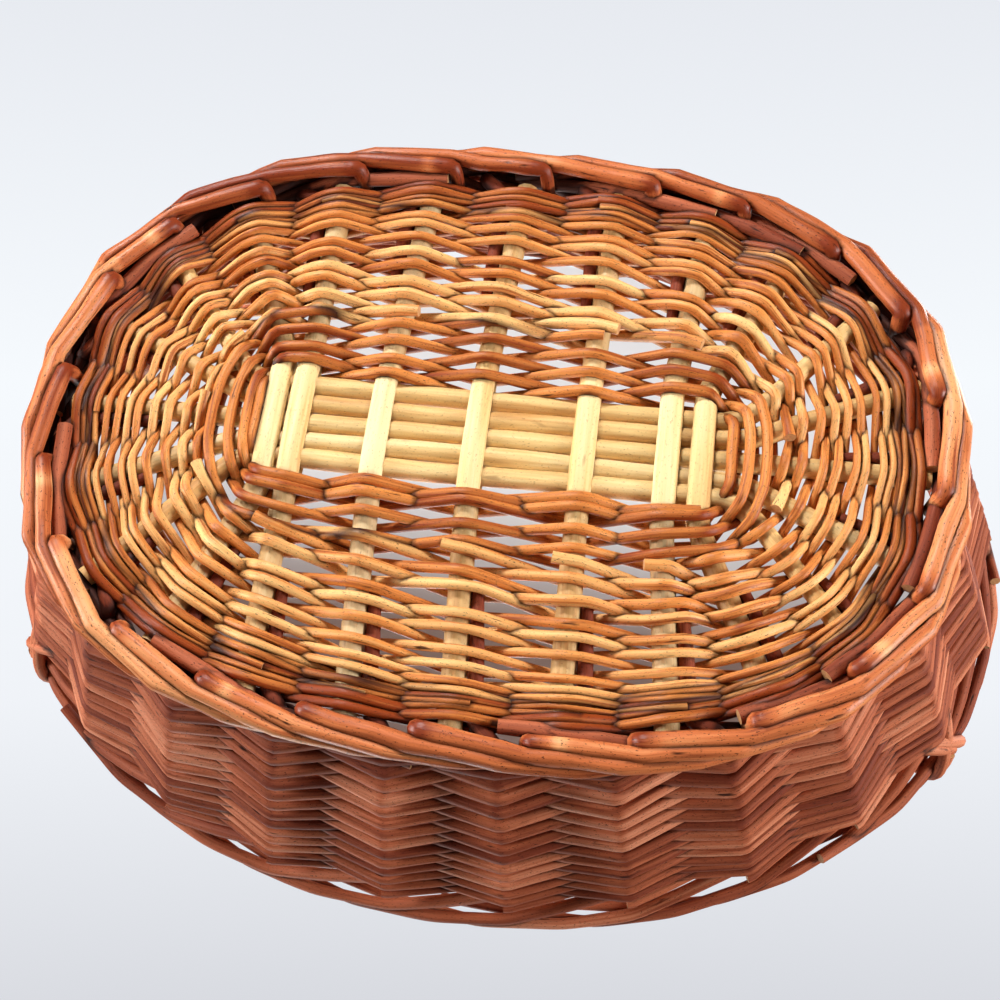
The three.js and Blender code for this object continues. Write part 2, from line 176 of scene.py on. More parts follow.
def willow_rod(line, thick, tone, uneven=0.035):
    """A rod along a line; its tone runs from 0, pale, to 1, deep, and may change along it."""
    count = len(line)
    thick = thick * (1 + waver(count, uneven, WAVER_SPREAD))
    bpy.ops.object.select_all(action="DESELECT")
    bpy.ops.curve.primitive_nurbs_path_add()
    shape = bpy.context.object.data
    shape.splines.clear()
    path = shape.splines.new("POLY")
    path.points.add(count - 1)
    path.points.foreach_set("co", np.column_stack([line * MM, np.ones(count)]).ravel())
    path.points.foreach_set("radius", thick)
    shape.bevel_depth = MM
    shape.bevel_resolution = SIDES // 2 - 2
    shape.use_fill_caps = True
    bpy.ops.object.convert(target="MESH")
    rod = bpy.context.object
    steps = np.linalg.norm(np.diff(line, axis=0), axis=1)
    along = np.concatenate([[0], np.cumsum(steps)]) * MM
    along = np.concatenate([[along[-1], 0], along]) + chance.uniform(0, LAY_RANGE)
    angles = np.tile(np.arange(SIDES) * FULL_TURN / SIDES, count + 2)
    lay = np.column_stack([np.cos(angles), np.sin(angles), np.repeat(along, SIDES)])
    rod.data.attributes.new("rod_lay", "FLOAT_VECTOR", "POINT").data.foreach_set("vector", lay.ravel())
    kinks = np.zeros(count)
    kinks[1:-1] = np.linalg.norm(line[2:] - 2 * line[1:-1] + line[:-2], axis=1)
    tones = tone + np.clip(kinks - KINK_START, 0, KINK_MOST) * KINK_TONE
    tones = np.repeat(np.concatenate([tones[[-1, 0]], tones]), SIDES)
    rod.data.attributes.new("rod_tone", "FLOAT", "POINT").data.foreach_set("value", tones)
    numbers = np.full(len(lay), len(laid), np.int32)
    rod.data.attributes.new("rod_number", "INT", "POINT").data.foreach_set("value", numbers)
    laid.append((line * MM, thick * MM))
    return rod


dressed = []
SAME_POINT = 1e-6
SMOOTH_BELOW = math.radians(50)


def piece(name, rods, finish, nodes):
    """The rods joined as one piece, which stands for these nodes of the frame."""
    bpy.ops.object.select_all(action="DESELECT")
    for rod in rods:
        rod.select_set(True)
    bpy.context.view_layer.objects.active = rods[0]
    if len(rods) > 1:
        bpy.ops.object.join()
    made = bpy.context.object
    made.name = name
    made.data.name = name
    made.data.materials.clear()
    made.data.materials.append(finish)
    made.data.materials.append(cut_wood)
    ends = np.zeros(len(made.data.polygons), np.int32)
    made.data.polygons.foreach_get("loop_total", ends)
    made.data.polygons.foreach_set("material_index", (ends == 3).astype(np.int32))
    bpy.ops.object.mode_set(mode="EDIT")
    bpy.ops.mesh.select_all(action="SELECT")
    bpy.ops.mesh.remove_doubles(threshold=SAME_POINT)
    bpy.ops.mesh.normals_make_consistent(inside=False)
    bpy.ops.object.mode_set(mode="OBJECT")
    bpy.ops.object.shade_smooth_by_angle(angle=SMOOTH_BELOW)
    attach(made, "root")
    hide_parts(*nodes)
    dressed.append(made)
    return made


# Finishes
def srgb(red, green, blue):
    """A colour as a screen shows it, made linear."""
    ease = lambda c: c / 12.92 if c <= 0.04045 else ((c + 0.055) / 1.055) ** 2.4
    return (*[ease(c / 255) for c in (red, green, blue)], 1.0)


class Value:
    """A socket in a finish, with sums written as plain expressions."""

    def __init__(self, finish, socket):
        self.finish = finish
        self.socket = socket

    def sum(self, operation, first, second):
        return self.finish.add("ShaderNodeMath", {"operation": operation}, {0: first, 1: second})

    def __add__(self, other):
        return self.sum("ADD", self, other)

    def __sub__(self, other):
        return self.sum("SUBTRACT", self, other)

    def __mul__(self, other):
        return self.sum("MULTIPLY", self, other)

    def __rsub__(self, other):
        return self.sum("SUBTRACT", other, self)

    __radd__ = __add__
    __rmul__ = __mul__


class Finish:
    """The nodes of a material or of the surroundings."""

    def __init__(self, owner):
        owner.use_nodes = True
        self.owner = owner
        self.tree = owner.node_tree
        self.tree.nodes.clear()

    def add(self, kind, settings=None, inputs=None, output=0):
        node = self.tree.nodes.new(kind)
        for name, value in (settings or {}).items():
            if name == "stops":
                for stop, _ in value[2:]:
                    node.color_ramp.elements.new(stop)
                for element, (stop, colour) in zip(node.color_ramp.elements, sorted(value)):
                    element.position = stop
                    element.color = colour
            else:
                setattr(node, name, value)
        for name, value in (inputs or {}).items():
            if isinstance(value, Value):
                self.tree.links.new(value.socket, node.inputs[name])
            else:
                node.inputs[name].default_value = value
        return Value(self, node.outputs[output]) if node.outputs else None

    def blend(self, share, first, second):
        return self.add("ShaderNodeMix", {"data_type": "RGBA"}, {0: share, 6: first, 7: second}, 2)

    def span(self, value, low, high):
        """Nothing below low, all above high."""
        return self.add("ShaderNodeMapRange", {}, {0: value, 1: low, 2: high, 3: 0.0, 4: 1.0})

    def noise(self, lay, scale, detail=3.0, rough=0.55):
        """Noise over a rod's lay, with its own scale round and along the rod."""
        spread = self.add("ShaderNodeVectorMath", {"operation": "MULTIPLY"}, {0: lay, 1: scale})
        settings = {"Vector": spread, "Scale": 1.0, "Detail": detail, "Roughness": rough}
        return self.add("ShaderNodeTexNoise", {}, settings)

    def close(self, inputs):
        """The material with one shader."""
        shader = self.add("ShaderNodeBsdfPrincipled", {}, inputs)
        self.add("ShaderNodeOutputMaterial", {}, {"Surface": shader})
        return self.owner

    def close_stage(self, colour, glow_share, glow_colour):
        """The material of a stage surface: part paint, part glow, and clear from behind."""
        behind = self.add("ShaderNodeNewGeometry", output=6)
        paint = self.add("ShaderNodeBsdfDiffuse", {}, {"Color": colour})
        glow = self.add("ShaderNodeEmission", {}, {"Color": glow_colour, "Strength": 1.0})
        front = self.add("ShaderNodeMixShader", {}, {0: glow_share, 1: paint, 2: glow})
        clear = self.add("ShaderNodeBsdfTransparent")
        shown = self.add("ShaderNodeMixShader", {}, {0: behind, 1: front, 2: clear})
        self.add("ShaderNodeOutputMaterial", {}, {"Surface": shown})
        return self.owner


def willow(name, pale, middle, deep, stain_and_shade, rough, wear_and_shade):
    """Peeled rod: its own tone, long grain, cloudy patches, specks, bud scars, and painted shade in the
    gaps.
    """
    finish = Finish(bpy.data.materials.new(name))
    lay = finish.add("ShaderNodeAttribute", {"attribute_name": "rod_lay"}, output=1)
    tone = finish.add("ShaderNodeAttribute", {"attribute_name": "rod_tone"}, output=2)
    gap = finish.add("ShaderNodeAttribute", {"attribute_name": "rod_gap"}, output=2)
    cloud = finish.noise(lay, (0.7, 0.7, 16.0), 2.0)
    grain = finish.noise(lay, (3.2, 3.2, 26.0), 4.0, 0.65)
    fleck = finish.noise(lay, (7.0, 7.0, 850.0), 2.0)
    scar = finish.noise(lay, (1.3, 1.3, 75.0), 2.0)
    share = finish.span(tone * 0.7 + cloud * 0.9 + grain * 0.6, 0.6, 1.5)
    colour = finish.add(
        "ShaderNodeValToRGB",
        {"stops": [(0.0, pale), (0.5, middle), (1.0, deep)]},
        {0: share},
    )
    specks = finish.span(fleck, 0.62, 0.7) * wear_and_shade
    scars = finish.span(scar, 0.66, 0.76) * wear_and_shade
    patches = finish.span(cloud + grain * 0.5, 0.82, 1.05) * wear_and_shade
    # Painted shade: the rod turns towards the dark stain colour where it lies close to another rod
    painted_shade = (1.0 - finish.span(gap, 0.0, 0.62)) * (grain * 0.4 + 0.85) * wear_and_shade
    colour = finish.blend(patches, colour, deep)
    marks = finish.add("ShaderNodeMath", {"operation": "MAXIMUM"}, {0: specks, 1: scars})
    colour = finish.blend(marks, colour, stain_and_shade)
    colour = finish.blend(painted_shade, colour, stain_and_shade)
    relief = finish.add(
        "ShaderNodeBump",
        {},
        {"Strength": 0.5, "Distance": 0.0006, "Height": grain * 0.7 + fleck * 0.3 - scars * 0.4},
    )
    return finish.close({
        "Base Color": colour,
        "Roughness": grain * 0.3 + (rough - 0.15),
        "Specular IOR Level": 0.3,
        "Normal": relief,
    })


cream_stick = willow(
    "cream_stick",
    pale=srgb(254, 230, 176), middle=srgb(240, 200, 132), deep=srgb(200, 138, 70), stain_and_shade=srgb(112, 50, 14),
    rough=0.5, wear_and_shade=0.38,
)
honey_rod = willow(
    "honey_rod",
    pale=srgb(254, 204, 132), middle=srgb(224, 139, 68), deep=srgb(148, 62, 20), stain_and_shade=srgb(48, 13, 2),
    rough=0.42, wear_and_shade=1.0,
)
rose_rod = willow(
    "rose_rod",
    pale=srgb(238, 162, 124), middle=srgb(190, 103, 66), deep=srgb(128, 54, 29), stain_and_shade=srgb(42, 11, 3),
    rough=0.68, wear_and_shade=0.98,
)
amber_rod = willow(
    "amber_rod",
    pale=srgb(252, 182, 122), middle=srgb(208, 115, 65), deep=srgb(134, 54, 25), stain_and_shade=srgb(44, 12, 3),
    rough=0.38, wear_and_shade=0.95,
)


def sawn_end():
    """Cut end grain: pale wood with darker patches."""
    finish = Finish(bpy.data.materials.new("cut_wood"))
    where = finish.add("ShaderNodeTexCoord", {}, output=3)
    patch = finish.add("ShaderNodeTexNoise", {}, {"Vector": where, "Scale": 900.0, "Detail": 3.0})
    colour = finish.blend(patch, srgb(226, 178, 120), srgb(164, 104, 62))
    return finish.close({"Base Color": colour, "Roughness": patch * 0.2 + 0.6})


cut_wood = sawn_end()


# Base sticks
LONG_SPREAD = 14
SHORT_SPREAD = 8
STICK_END = 1.03
STICK_STEP = 4.0
SPLIT_FLAT = 0.06
SLIT_FLAT = 0.72
SLIT = LONG_STICK / 2 + 0.6
SLIT_REACH = 2 * LONG_STICK_PITCH + LONG_STICK / 2 + 0.35


def uneven_line(line, reach, spread=LONG_SPREAD):
    """A rod is never quite straight."""
    return line + np.column_stack([waver(len(line), reach, spread) for _ in range(3)])


def half_round(rod, line, up, flat):
    """Keeps one half of a split stick: the side away from the split stays round."""
    places = np.zeros(len(rod.data.vertices) * 3)
    rod.data.vertices.foreach_get("co", places)
    places = places.reshape(-1, 3)
    middle = np.concatenate([line[[-1, 0], 2], line[:, 2]]) * MM
    middle = np.repeat(middle, SIDES)
    flat = np.repeat(np.concatenate([flat[[-1, 0]], flat]), SIDES)
    lift = (places[:, 2] - middle) * up
    places[:, 2] = middle + up * np.where(lift < 0, lift * SPLIT_FLAT, lift * flat)
    rod.data.vertices.foreach_set("co", places.ravel())
    rod.data.update()
    return rod


rods = []
for j in range(LONG_STICKS):
    lane = j - LONG_STICKS // 2
    points = [on_stick(HALF_WAY - lane, s, 0, BASE_HEIGHT) for s in (STICK_END, 0)]
    points += [on_stick(lane, s, 0, BASE_HEIGHT) for s in (0, STICK_END)]
    line, thick = bent(points, LONG_STICK / 2 + chance.uniform(0.5, 0.72), STICK_STEP, rounds=6)
    rods.append(willow_rod(uneven_line(line, 0.35), thick, chance.uniform(0.1, 0.6)))
piece("long_sticks", rods, cream_stick, [f"long_stick_{j + 1}" for j in range(5)])

rods = []
for i, x in enumerate(CROSS_STICK_X):
    tone = chance.uniform(0.0, 0.5)
    for up in (-1, 1):
        apart = BASE_HEIGHT + up * SLIT
        points = [on_stick(NEAR_STICK + i, s, 0, BASE_HEIGHT) for s in (STICK_END, 0)]
        points += [np.array([x, y, apart]) for y in (-SLIT_REACH, SLIT_REACH)]
        points += [on_stick(FAR_STICK - i, s, 0, BASE_HEIGHT) for s in (0, STICK_END)]
        line, thick = bent(points, CROSS_STICK / 2, STICK_STEP)
        flat = mix(1.0, SLIT_FLAT, np.clip(np.abs(line[:, 2] - BASE_HEIGHT) / SLIT, 0, 1))
        rods.append(half_round(willow_rod(line, thick, tone, uneven=0.02), line, up, flat))
piece("cross_sticks", rods, cream_stick, [f"cross_stick_{i + 1}" for i in range(7)])

# Stakes: beside a stick, up the side and slanting into the open rim
# Each stake's run along the rim: stations gone, share of the rise, and how far out
RIM_RUN = [
    (0.5, 0.42, 0.2), (1.0, 0.84, 1.6), (1.6, 0.88, 2.6),
    (2.3, 1.0, 1.2), (2.9, 1.0, -3.0), (3.6, 0.96, -6.4),
]
RIM_RUN_LENGTH = RIM_RUN[-1][0]
# Some stakes end in a tail outside the rim instead
TAIL_RUN = [(2.0, 0.85, 2.0), (2.35, 0.62, 4.5)]
LOOSE_TAILS = (3, 8, 10, 13, 20)
STAKE_RADII = [2.3, 3.0, 3.1, 3.2, 3.1, 2.7]
RIM_RADII = (2.8, 2.0)
ENTRY_BY_LONG_STICK = 0.52
ENTRY_BY_CROSS_STICK = 0.34
# Painted shade: how much deeper in tone a rod is where it lies low, behind the foot
HIDDEN_SHADE_TONE = 0.6


def is_long(k):
    """Whether the stick at a station is one of the long ones."""
    return sticks[k % STATIONS][1] == LONG_STICK / 2


def stake_entry(k):
    """Where on a stick the stake beside it begins: later where the sticks lie close together."""
    return ENTRY_BY_LONG_STICK if is_long(k) else ENTRY_BY_CROSS_STICK


rods = []
for k in range(STATIONS):
    station = k - STAKE_PHASE
    beside = -(sticks[k][1] + 0.35)
    entry = stake_entry(k) + chance.uniform(0, 0.08)
    points = [
        on_stick(k, entry, beside - 1.6, BASE_HEIGHT),
        on_stick(k, mix(entry, 1, 0.5), beside - 2.8, BASE_HEIGHT),
        on_stick(k, 0.99, beside - 3.2, BASE_HEIGHT),
        place(foot_ring, station, -2.5, BASE_HEIGHT - 0.3),
        place(side_ring(BASE_HEIGHT + 3), station, 0, BASE_HEIGHT + 3),
        place(side_ring(WEAVE_TOP), station, 0, WEAVE_TOP),
    ]
    radii = list(STAKE_RADII)
    rise = RIM_LINE - WEAVE_TOP
    for run, high, out in RIM_RUN if k not in LOOSE_TAILS else RIM_RUN[:3] + TAIL_RUN:
        height = WEAVE_TOP + rise * high
        points.append(place(side_ring(height), station + run + chance.normal(0, 0.03), out, height))
        radii.append(mix(*RIM_RADII, run / RIM_RUN_LENGTH))
    line, thick = bent(points, radii)
    # Painted shade: the stake is deeper in tone where it lies low, in the base and behind the foot
    tone = chance.uniform(0.1, 1.0) + HIDDEN_SHADE_TONE * (line[:, 2] < SIDE_START)
    rods.append(willow_rod(line, thick, tone))
piece("stakes_and_rim", rods, rose_rod, [f"stake_{k + 1:02d}" for k in range(STATIONS)])

# Base weave: two rods bind the sticks in bundles, then a rod from every stick weaves out to the edge
BUNDLES = [
    [-2, -1, 0, 1, 2], [3, 4], [5], [6], [7], [8, 9],
    [10, 11, 12, 13, 14], [15, 16], [17], [18], [19], [20, 21],
]
BINDER_RADIUS = 2.2
BINDER_FIRST_BUNDLE = 7
BINDER_STITCHES = 4 * len(BUNDLES) - 2
# Where on the sticks the two binders start, and how far apart they lie: at the near side, and elsewhere
BINDER_NEAR = (-0.035, 0.012)
BINDER_FAR = (-0.085, 0.04)

# Shares of a stick's length at which the weaving rods cross it, and their thickness from butt to tip
WEAVE_FIRST = 0.25
WEAVE_STEP = 0.051
WEAVE_CLOSING = 0.0007
WEAVE_LAST = 0.94
WEAVE_STITCHES = 21
WEAVE_RADII = (2.35, 1.4)
WEAVE_TAPER = 18
LONG_STICK_SQUEEZE = 0.84

# Thin rows close the edge, the last ones a little thicker and darker
EDGE_ROWS = 8
EDGE_THIN_ROWS = 5
EDGE_FIRST = 0.86
EDGE_STEP = 0.019
EDGE_LIFT = 0.9

# Base sticks on which the cut butt of a weaving rod shows
SEEN_BUTTS = (0, 2, 5, 7, 8, 11, 13, 16, 17, 18, 20, 22)

# Where a weaving rod bends beside the middle of a stick, and over the stake next to it
STITCH_SHIFT = 0.22
STAKE_SHIFT = -1.15
STAKE_LIFT = 0.85
STAKE_CLEAR = 0.06


def over_under(k, share, shift, up, radius):
    """A point of a weaving rod over or under a stick, shifted sideways from its middle."""
    lift = sticks[k % STATIONS][1] + radius
    return on_stick(k, share, shift * lift, BASE_HEIGHT + up * lift)


def crossing(k, share, up, radius, way):
    """A weaving rod over or under a stick and its stake; way is 1 towards higher stations."""
    points = [over_under(k, share, shift * way, up, radius) for shift in (-STITCH_SHIFT, STITCH_SHIFT)]
    if share > stake_entry(k) + STAKE_CLEAR:
        points.insert(0 if way > 0 else 2, over_under(k, share, STAKE_SHIFT, up * STAKE_LIFT, radius))
    return points


rods = []
for first in range(2):
    points = []
    for i in range(BINDER_STITCHES):
        at = (i + BINDER_FIRST_BUNDLE) % len(BUNDLES)
        turn = i / len(BUNDLES)
        bundle = BUNDLES[at]
        start, apart = BINDER_NEAR if bundle[0] >= NEAR_STICK else BINDER_FAR
        share = start + apart * first + 0.02 * turn + 0.08 * max(0, turn - 0.9) + chance.normal(0, 0.006)
        up = 1 if (at + first) % 2 else -1
        points.append(over_under(bundle[0], share, -0.3, up, BINDER_RADIUS))
        points += [over_under(k, share, 0, up, BINDER_RADIUS) for k in bundle[1:-1]]
        points.append(over_under(bundle[-1], share, 0.3, up, BINDER_RADIUS))
    line, thick = bent(points, BINDER_RADIUS, rounds=1)
    thick = thick * np.linspace(1.05, 0.9, len(thick))
    rods.append(willow_rod(uneven_line(line, 0.3), thick, 0.5 + 0.3 * first))
piece("base_binding", rods, honey_rod, ["base_binder_a", "base_binder_b"])

rods = []
for k in range(STATIONS):
    points = []
    radii = []
    drift = chance.normal(0, 0.012)
    for p in range(WEAVE_STITCHES):
        share = WEAVE_FIRST + WEAVE_STEP * p - WEAVE_CLOSING * p * p + drift + chance.normal(0, 0.005)
        if share > WEAVE_LAST:
            break
        radius = mix(*WEAVE_RADII, p / WEAVE_TAPER)
        up = 1 if p % 2 else -1
        if p == 0:
            if k in SEEN_BUTTS:
                points.append(over_under(k, share - 0.01, 1.1, -1.1, radius))
            else:
                points.append(over_under(k + 1, share - 0.04, -0.2, 0.8, radius))
            radii.append(radius)
        if is_long(k - p):
            radius *= LONG_STICK_SQUEEZE
        over = crossing(k - p, share, up, radius, -1)
        points += over
        radii += [radius] * len(over)
    line, thick = bent(points, radii, step=2.6, rounds=1)
    tone = chance.uniform(-0.15, 0.6) + np.linspace(0.0, 0.3, len(line))
    rods.append(willow_rod(uneven_line(line, 0.25, SHORT_SPREAD), thick, tone))
for row in range(EDGE_ROWS):
    last = row >= EDGE_THIN_ROWS
    points = []
    start = int(chance.integers(0, STATIONS))
    radius = chance.uniform(1.7, 2.1) if last else chance.uniform(1.15, 1.5)
    for i in range(STATIONS + 2):
        k = i + start
        up = EDGE_LIFT if (k + row) % 2 else -EDGE_LIFT
        share = EDGE_FIRST + EDGE_STEP * row + chance.normal(0, 0.004)
        points += crossing(k, share, up, radius, 1)
    line, thick = bent(points, radius, step=2.8, rounds=1)
    tone = chance.uniform(0.8, 1.2) if last else chance.uniform(0.3, 1.1)
    rods.append(willow_rod(uneven_line(line, 0.35, SHORT_SPREAD), thick, tone))
piece("base_weave", rods, honey_rod, ["base_weaver_a", "base_weaver_b"])

# Butts of rods left lying inside the foot: the station of each, and how far out from the edge of the base
BUTTS = [
    (8.3, 1.0), (8.9, 3.5), (7.3, 2.0), (14.6, 3.0), (20.2, 2.0), (4.4, 3.0),
    (13.7, 2.0), (12.5, 2.5), (11.2, 3.0), (1.6, 2.0), (22.9, 2.0), (16.8, 1.0),
]
BUTT_RADII = [2.9, 3.0, 2.9, 2.4, 1.9]

# Side weave: a rod from every stake comes out under the foot and climbs in and out of the stakes
SIDE_END = WEAVE_TOP + 4.5
SIDE_STEP = 4.5
SIDE_CLOSING = 0.04
SIDE_STITCHES = 30
SIDE_RADII = (2.7, 1.6)
SIDE_REACH = (3.1, 2.7)
SIDE_TAPER = 25
side_rods = []
for k in range(STATIONS):
    station = k - STAKE_PHASE
    points = [
        place(foot_ring, station - 1.7, 2.0, BASE_HEIGHT + 0.5),
        place(foot_ring, station - 1.0, 6.2, BASE_HEIGHT + 2.0),
        place(foot_ring, station - 0.5, 4.0, SIDE_START - 2.2),
    ]
    radii = [2.6, 3.0, 3.0]
    for p in range(SIDE_STITCHES):
        height = SIDE_START + SIDE_STEP * p - SIDE_CLOSING * p * p + chance.normal(0, 0.3)
        if height > SIDE_END:
            break
        radius = mix(*SIDE_RADII, p / SIDE_TAPER)
        reach = mix(*SIDE_REACH, p / SIDE_TAPER) + radius
        way = 1 if p % 2 else -1
        for shift in (-0.02, 0.02):
            points.append(place(side_ring(height), station + p + shift, way * reach, height))
            radii.append(radius)
    line, thick = bent(points, radii, step=2.4, rounds=0)
    # Painted shade: the side rod is deeper in tone where it lies low, under the foot
    tone = chance.uniform(0.0, 1.0) + HIDDEN_SHADE_TONE * (line[:, 2] < SIDE_START - 1)
    side_rods.append(willow_rod(uneven_line(line, 0.2, SHORT_SPREAD), thick, tone))
for k, reach in BUTTS:
    points = [
        place(edge_ring, k + 0.75, reach - 1.0, BASE_HEIGHT - 5.0),
        place(edge_ring, k + 0.2, reach, BASE_HEIGHT - 4.5),
        place(edge_ring, k - 0.5, reach + 4.0, BASE_HEIGHT - 1.0),
        place(foot_ring, k - 1.2, 0.0, BASE_HEIGHT + 3.0),
        place(foot_ring, k - 1.9, 6.0, BASE_HEIGHT + 4.5),
    ]
    line, thick = bent(points, BUTT_RADII, step=2.8, rounds=2)
    side_rods.append(willow_rod(line, thick, chance.uniform(0.6, 1.1)))
for i, name in enumerate("ab"):
    piece(f"side_weave_{name}", side_rods[i::2], rose_rod, [f"side_weaver_{name}"])

# Foot border: thick rods kinked out from beside the stakes, each slanting from an inner to an outer lane
FOOT_LOW = 3.4
FOOT_RADII = np.array([2.9, 3.3, 3.5, 3.2, 3.1, 2.7, 1.9])
# Samples along a foot rod to its heel, and from there to a pale scar on every third rod
HEEL_AT = 8
SCAR_AT = 5
SCAR_EVERY = 3
# Painted shade: foot rods beyond this distance towards the far side are deeper in tone
SHADED_FAR_SIDE = 60
rods = []
for k in range(STATIONS):
    station = k - STAKE_PHASE - FOOT_HOOK + chance.normal(0, 0.04)
    inner = -FOOT_LANE + chance.normal(0, 0.4)
    points = [
        place(border_ring, station + 0.03, inner - 3.2, BASE_HEIGHT + 4.0),
        place(border_ring, station + 0.01, inner - 2.0, FOOT_LOW + 3.8),
        place(border_ring, station - 0.02, inner - 0.3, FOOT_LOW - 0.2),
        place(border_ring, station - 0.95, 0.2, FOOT_LOW + 0.3),
        place(border_ring, station - 1.75, FOOT_LANE * 0.9, FOOT_LOW + 1.6),
        place(border_ring, station - 2.4, FOOT_LANE - 0.8, FOOT_LOW + 6.0),
        place(border_ring, station - 3.2, FOOT_LANE - 2.6, FOOT_LOW + 12.0),
    ]
    radii = FOOT_RADII * chance.uniform(0.93, 1.07)
    line, thick = bent(points, radii, step=1.8, rounds=0)
    from_heel = np.arange(len(line)) - HEEL_AT
    tone = chance.uniform(0.1, 0.7) + 0.5 * np.exp(-(from_heel / 2.5) ** 2)
    # Painted shade on the far side of the foot
    tone = tone + 0.3 * (line[:, 1] > SHADED_FAR_SIDE)
    if k % SCAR_EVERY == 0:
        tone = tone - 0.5 * np.exp(-((from_heel - SCAR_AT) / 1.6) ** 2)
    rods.append(willow_rod(uneven_line(line, 0.25, SHORT_SPREAD), thick, tone, 0.06))
foot = piece("foot_border_rods", rods, amber_rod, ["foot_border"])
for point in foot.data.vertices:
    point.co.z = max(point.co.z, 0.0)


# Ear handles
BOW_STEP = 2.5
BOW_TIP = np.linspace(0.5, 1, 4)
STRANDS = 5
STRAND_RADIUS = 2.05
STRAND_TURNS = 4.2
STRAND_CLEAR = 8
LASHING_ROD = 5.2
LASHING_LOOPS = 3
LASHING_SLANT = 12.0
LASHING_POINTS = 12
# Turns after which a lashing slants the other way
LASHING_CROSSING = 1.5 - 0.3 / math.pi
CURVE_POINTS = 24


def curve_through(points, step):
    """A smooth line through points, sampled evenly."""
    points = np.array(points, float)
    points = np.vstack([2 * points[0] - points[1], points, 2 * points[-1] - points[-2]])
    knots = np.concatenate([[0], np.cumsum(np.linalg.norm(np.diff(points, axis=0), axis=1) ** 0.5)])
    line = []
    for i in range(1, len(points) - 2):
        last = i == len(points) - 3
        t = np.linspace(knots[i], knots[i + 1], CURVE_POINTS, endpoint=last)[:, None]
        near = lambda a, b, p, q: ((knots[b] - t) * p + (t - knots[a]) * q) / (knots[b] - knots[a])
        first = near(i - 1, i, points[i - 1], points[i])
        second = near(i, i + 1, points[i], points[i + 1])
        third = near(i + 1, i + 2, points[i + 1], points[i + 2])
        line.append(near(i, i + 1, near(i - 1, i + 1, first, second), near(i, i + 2, second, third)))
    return bent(np.vstack(line), 1.0, step, rounds=0)[0]


def bow_line(end):
    """Up inside the rim beside one lashing, over, and down beside the other."""
    low = RIM_LINE - BOW_TUCK
    feet = []
    for offset in (-HANDLE_STATION, HANDLE_STATION):
        heights = [low, mix(low, RIM_LINE, 0.5), RIM_LINE]
        feet.append([place(side_ring(h), end + offset, -BOW_INSET, h) for h in heights])
    top = place(side_ring(RIM_LINE), end, -BOW_INSET * 0.7, RIM_LINE + HANDLE_RISE - BOW_ROD / 2)
    shoulders = []
    for leg in feet:
        point = mix(leg[2], top, 0.22)
        point[2] = mix(RIM_LINE, top[2], 0.72)
        shoulders.append(point)
    return curve_through([*feet[0], shoulders[0], top, shoulders[1], *feet[1][::-1]], BOW_STEP)


def strand_round(line, start, stop, radius, turns, phase):
    """A strand wound round a line, between two shares of it."""
    count = len(line)
    inside = line[int(count * start):int(count * stop)]
    middle = line[count // 2] * (1, 1, 0)
    middle = middle / np.linalg.norm(middle)
    heading = np.gradient(inside, axis=0)
    heading = heading / np.linalg.norm(heading, axis=1)[:, None]
    inward = middle - heading * (heading @ middle)[:, None]
    inward = inward / np.linalg.norm(inward, axis=1)[:, None]
    across = np.cross(heading, inward)
    angles = (phase + np.linspace(0, turns, len(inside)) * FULL_TURN)[:, None]
    return inside + radius * (np.cos(angles) * inward + np.sin(angles) * across)


def lashing_line(station, loops, thick):
    """A slanting coil round the rim and the foot of a bow."""
    radius = thick / 2
    _, out = side_ring(RIM_LINE)(station)
    along = np.array([-out[1], out[0], 0.0])
    outer, inner = 3.6 + radius, -(BOW_INSET + BOW_ROD / 2 + radius)
    over, under = HEIGHT + radius, WEAVE_TOP - 3.0
    points = []
    for step in range(loops * LASHING_POINTS + 1):
        turn = step / LASHING_POINTS
        angle = FULL_TURN * turn
        squared = math.copysign(abs(math.cos(angle)) ** 0.7, math.cos(angle))
        outward = mix(inner, outer, 0.5 + 0.5 * squared)
        height = mix(under, over, 0.5 + 0.5 * math.sin(angle))
        slant = LASHING_SLANT if turn < LASHING_CROSSING else -LASHING_SLANT
        sideways = (turn - loops / 2) * thick * 0.7 + slant * math.sin(angle + 0.6)
        points.append(place(side_ring(min(height, RIM_LINE)), station, outward, height) + along * sideways)
    return points


for i, side in enumerate(("right", "left")):
    end = HALF_WAY * i
    bow = bow_line(end)
    thick = np.full(len(bow), BOW_ROD / 2)
    thick[:len(BOW_TIP)] *= BOW_TIP
    thick[-len(BOW_TIP):] *= BOW_TIP[::-1]
    rod = willow_rod(bow, thick, 0.6)
    piece(f"handle_bow_rod_{side}", [rod], amber_rod, [f"handle_bow_{side}"])
    start = (BOW_TUCK + STRAND_CLEAR) / (BOW_STEP * len(bow))
    rods = []
    for strand in range(STRANDS):
        phase = strand * FULL_TURN / STRANDS
        line = strand_round(bow, start, 1 - start, BOW_ROD / 2 + 1.9, STRAND_TURNS, phase)
        rods.append(willow_rod(line, np.full(len(line), STRAND_RADIUS), chance.uniform(0.1, 0.9)))
    piece(f"handle_rope_{side}", rods, amber_rod, [f"handle_wrap_{side}"])
    rods = []
    for offset in (-HANDLE_STATION, HANDLE_STATION):
        points = lashing_line(end + offset, LASHING_LOOPS, LASHING_ROD)
        line, thick = bent(points, LASHING_ROD / 2, step=2.5, rounds=1)
        rods.append(willow_rod(line, thick, chance.uniform(0.0, 0.4)))
    piece(
        f"handle_lashings_{side}", rods, rose_rod,
        [f"handle_lashing_{2 * i + 1}", f"handle_lashing_{2 * i + 2}"],
    )

